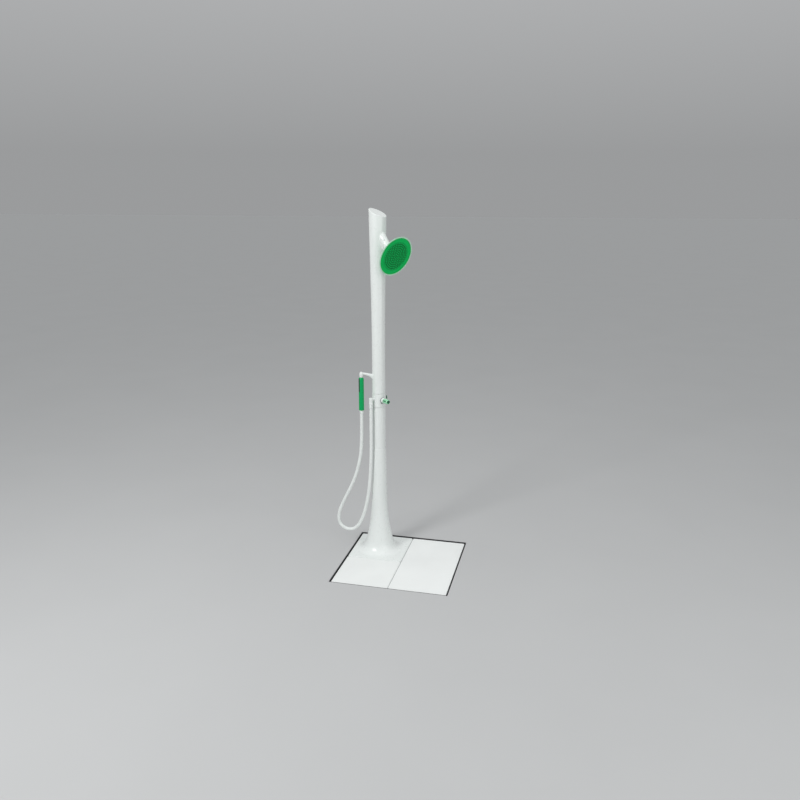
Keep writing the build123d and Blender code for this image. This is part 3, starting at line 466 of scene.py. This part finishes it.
upper_sleeve = make_sleeve("upper_sleeve", nut_low, nut_high, "root", 5)
lower_sleeve = make_sleeve("lower_sleeve", end_low, end_high, "hose_end", 2)
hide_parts("upper_hose_nut")
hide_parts("lower_hose_nut")

# ---------------------------------------------------------------- rain nozzles and nut ribs
ball_spot = Vector(joints["head_spin"]["pos_m"])
spray = Vector(joints["head_spin"]["axis"]).normalized()
across = Vector(joints["head_tilt"]["axis"]).normalized()
upward = spray.cross(across)
face_ahead = 0.0422
nozzle_profile = [(0.0021, -0.002), (0.0021, 0.0001), (0.0017, 0.0008), (0.0013, 0.0012),
                  (0.0009, 0.0012), (0.0007, 0.0007)]
nut_rib_count = 18
nut_rib_radius = 0.0194
nut_rib_profile = [(0.0002, 0.0026), (0.0009, 0.004), (0.0011, 0.008), (0.0011, 0.014),
                   (0.0009, 0.0175), (0.0002, 0.0188)]


def make_nozzles():
    """Tapered soft nozzles in rings on the face of the rain head."""
    mesh = bmesh.new()
    for ring in range(1, nozzle_rings + 1):
        ring_count = 6 * ring
        for place in range(ring_count):
            turn = 2 * pi * place / ring_count
            spot = ball_spot + spray * face_ahead
            spot += (across * cos(turn) + upward * sin(turn)) * nozzle_pitch * ring
            turned(mesh, spot, spray, nozzle_profile, 12)
    nozzles = new_piece("rain_nozzles", mesh, "nozzle_green", "rain_head")
    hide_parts("nozzle_mat")


def make_nut_ribs():
    """Rounded grip ribs round the nut of the ball joint."""
    mesh = bmesh.new()
    for rib in range(nut_rib_count):
        turn = 2 * pi * rib / nut_rib_count
        away = across * cos(turn) + upward * sin(turn)
        turned(mesh, ball_spot + away * nut_rib_radius, spray, nut_rib_profile, 8)
    new_piece("nut_ribs", mesh, "plastic_grey", "rain_head")


# ---------------------------------------------------------------- marks on the mixer and hand shower
knob_spot = Vector(joints["mixer_turn"]["pos_m"])
knob_out = Vector(joints["mixer_turn"]["axis"]).normalized()
knob_left = knob_out.cross(upright)
knob_radius = 0.0145
knob_end = 0.100
# place and size of the dark strip that paints the shade along the knob's slot
shade_strip_middle = 0.076
shade_strip_half_length = 0.0148
shade_strip_half_width = 0.0034
shade_strip_facing = radians(20.5)
shade_strip_proud = 0.0004
shade_strip_depth = 0.0012
tab_along = 0.052
tab_radius = 0.0170


def make_knob_end_shade():
    """Domed cap on the end of the mixer knob, coloured dark as painted shade on the knob's shaded end."""
    profile = [(0.0108, -0.001), (0.0108, 0.0001), (0.0103, 0.0005), (0.008, 0.0008), (0.004, 0.001),
               (0.0005, 0.0011)]
    mesh = bmesh.new()
    turned(mesh, knob_spot + knob_out * (knob_end - 0.0002), knob_out, profile, 32)
    # cap painted dark as the shade on the knob's outer end
    new_piece("knob_end_shade_cap", mesh, "dark_green", "mixer_knob")


def make_knob_shade_strip():
    """Dark strip that fills the slot of the mixer knob and stands a little proud of its round: painted
    shade along the slot.
    """
    mesh = bmesh.new()
    half_steps = 8
    half_turns = 3
    outer_turns = list(range(-half_turns, half_turns + 1))
    skins = [(knob_radius + shade_strip_proud, outer_turns), (knob_radius - shade_strip_depth, outer_turns[::-1])]
    rings = []
    for step in range(2 * half_steps + 1):
        share = -1 + step / half_steps
        lean = shade_strip_half_width * (1.02 - share ** 6) ** 0.5 / knob_radius
        spot = knob_spot + knob_out * (shade_strip_middle + shade_strip_half_length * share)
        ring = []
        for reach, turns in skins:
            for turn in turns:
                facing = shade_strip_facing + lean * turn / half_turns
                away = knob_left * cos(facing) + upright * sin(facing)
                ring.append(mesh.verts.new(spot + away * reach))
        rings.append(ring)
    join_rings(mesh, rings)
    # dark strip painted as the shade along the knob's slot
    new_piece("knob_shade_strip", mesh, "dark_green", "mixer_knob", False)


def make_diverter_tab():
    """Small dark thumb tab at the lower left of the diverter ring."""
    mesh = bmesh.new()
    away = (knob_left - upright * 0.9).normalized()
    profile = [(0.0008, 0), (0.0034, 0.0004), (0.0040, 0.002), (0.0039, 0.0045), (0.0031, 0.0062),
               (0.0012, 0.0068)]
    turned(mesh, knob_spot + knob_out * tab_along + away * tab_radius, away, profile, 20)
    new_piece("diverter_tab", mesh, "dark_green", "diverter")


def make_strip_nozzles():
    """Two rows of small spray nozzles down the strip of the hand shower."""
    row_count = 12
    row_pitch = 0.006
    row_gap = 0.006
    strip_face = 0.0142
    strip_low, strip_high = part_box("spray_strip")
    wall_low, wall_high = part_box("handset_body")
    axis_x = (wall_low.x + wall_high.x) / 2
    axis_y = (wall_low.y + wall_high.y) / 2
    middle = (strip_low + strip_high) / 2
    away = Vector((middle.x - axis_x, middle.y - axis_y, 0)).normalized()
    aside = Vector((-away.y, away.x, 0))
    mesh = bmesh.new()
    profile = [(0.0014, -0.0004), (0.0014, 0.0003), (0.0011, 0.0008), (0.0005, 0.001), (0.0003, 0.0006)]
    for row in (-0.5, 0.5):
        for place in range(row_count):
            height = middle.z + (place - (row_count - 1) / 2) * row_pitch
            spot = Vector((axis_x, axis_y, height)) + away * strip_face + aside * row_gap * row
            turned(mesh, spot, away, profile, 10)
    new_piece("strip_nozzles", mesh, "dark_green", "handset")


make_nozzles()
make_nut_ribs()
make_knob_end_shade()
make_knob_shade_strip()
make_diverter_tab()
make_strip_nozzles()

# ---------------------------------------------------------------- floor, light and camera
half_floor = 80.0
floor_gap = 0.002


def make_floor():
    """Plain pale floor level with the tray's rim, with a square opening for the tray."""
    mesh = bmesh.new()
    middle = (tray_low + tray_high) / 2
    half = tray_high.x - middle.x + floor_gap
    corners = [(-1, -1), (1, -1), (1, 1), (-1, 1)]
    inner = [mesh.verts.new((middle.x + half * x, middle.y + half * y, rim_top)) for x, y in corners]
    pit = [mesh.verts.new((vertex.co.x, vertex.co.y, 0)) for vertex in inner]
    outer = [mesh.verts.new((half_floor * x, half_floor * y, rim_top)) for x, y in corners]
    for side in range(4):
        after = (side + 1) % 4
        mesh.faces.new((outer[side], outer[after], inner[after], inner[side]))
        mesh.faces.new((inner[side], inner[after], pit[after], pit[side]))
    data = bpy.data.meshes.new("floor")
    mesh.to_mesh(data)
    mesh.free()
    floor = bpy.data.objects.new("floor", data)
    bpy.context.scene.collection.objects.link(floor)
    material, shader = new_material("floor_pale", (0.50, 0.505, 0.505), 0.85)
    shader.inputs["Specular IOR Level"].default_value = 0.1
    tone = add_ramp(material, object_noise(material, 1.5), (0.495, 0.50, 0.50), (0.505, 0.51, 0.51))
    material.node_tree.links.new(tone, shader.inputs["Base Color"])
    floor.data.materials.append(material)


def make_light(name, place, aim, size, power):
    """Square area light at a place, facing its aim; size in metres and power in watts."""
    lamp = bpy.data.lights.new(name, "AREA")
    lamp.size = size
    lamp.energy = power
    light = bpy.data.objects.new(name, lamp)
    light.location = place
    light.rotation_euler = (Vector(aim) - Vector(place)).to_track_quat("-Z", "Y").to_euler()
    bpy.context.scene.collection.objects.link(light)


def make_world(horizon, zenith):
    """Soft studio dome, from the floor's own tone at the horizon to a brighter top."""
    world = bpy.data.worlds.new("studio")
    world.use_nodes = True
    tree = world.node_tree
    place = tree.nodes.new("ShaderNodeTexCoord")
    split = tree.nodes.new("ShaderNodeSeparateXYZ")
    ramp = tree.nodes.new("ShaderNodeValToRGB")
    ramp.color_ramp.elements[0].position = 0.05
    ramp.color_ramp.elements[0].color = (*horizon, 1)
    ramp.color_ramp.elements[1].position = 0.75
    ramp.color_ramp.elements[1].color = (*zenith, 1)
    tree.links.new(place.outputs["Generated"], split.inputs["Vector"])
    tree.links.new(split.outputs["Z"], ramp.inputs["Fac"])
    tree.links.new(ramp.outputs["Color"], tree.nodes["Background"].inputs["Color"])
    bpy.context.scene.world = world


def make_camera(place, lens, down, turn):
    """Camera at a place, looking down by one angle and turned to its left by another, in degrees."""
    camera_data = bpy.data.cameras.new("camera")
    camera_data.sensor_width = 36.0
    camera_data.lens = lens
    camera = bpy.data.objects.new("camera", camera_data)
    camera.location = place
    camera.rotation_euler = (radians(90 - down), 0, radians(turn))
    bpy.context.scene.collection.objects.link(camera)
    bpy.context.scene.camera = camera


make_floor()
make_world((0.325, 0.33, 0.335), (0.72, 0.73, 0.74))
make_light("key", (-2.2, -3.4, 3.6), (-0.1, 0.1, 1.2), 1.2, 95)
make_light("top", (0.2, -0.4, 5.5), (-0.1, 0.1, 0.5), 4.0, 28)
make_light("fill", (3.8, -2.6, 2.2), (0, 0, 1.0), 3.0, 42)
make_camera((1.0522, -4.4012, 2.3708), 34.425, 15.009, 13.533)
bpy.context.scene.view_settings.view_transform = "Standard"
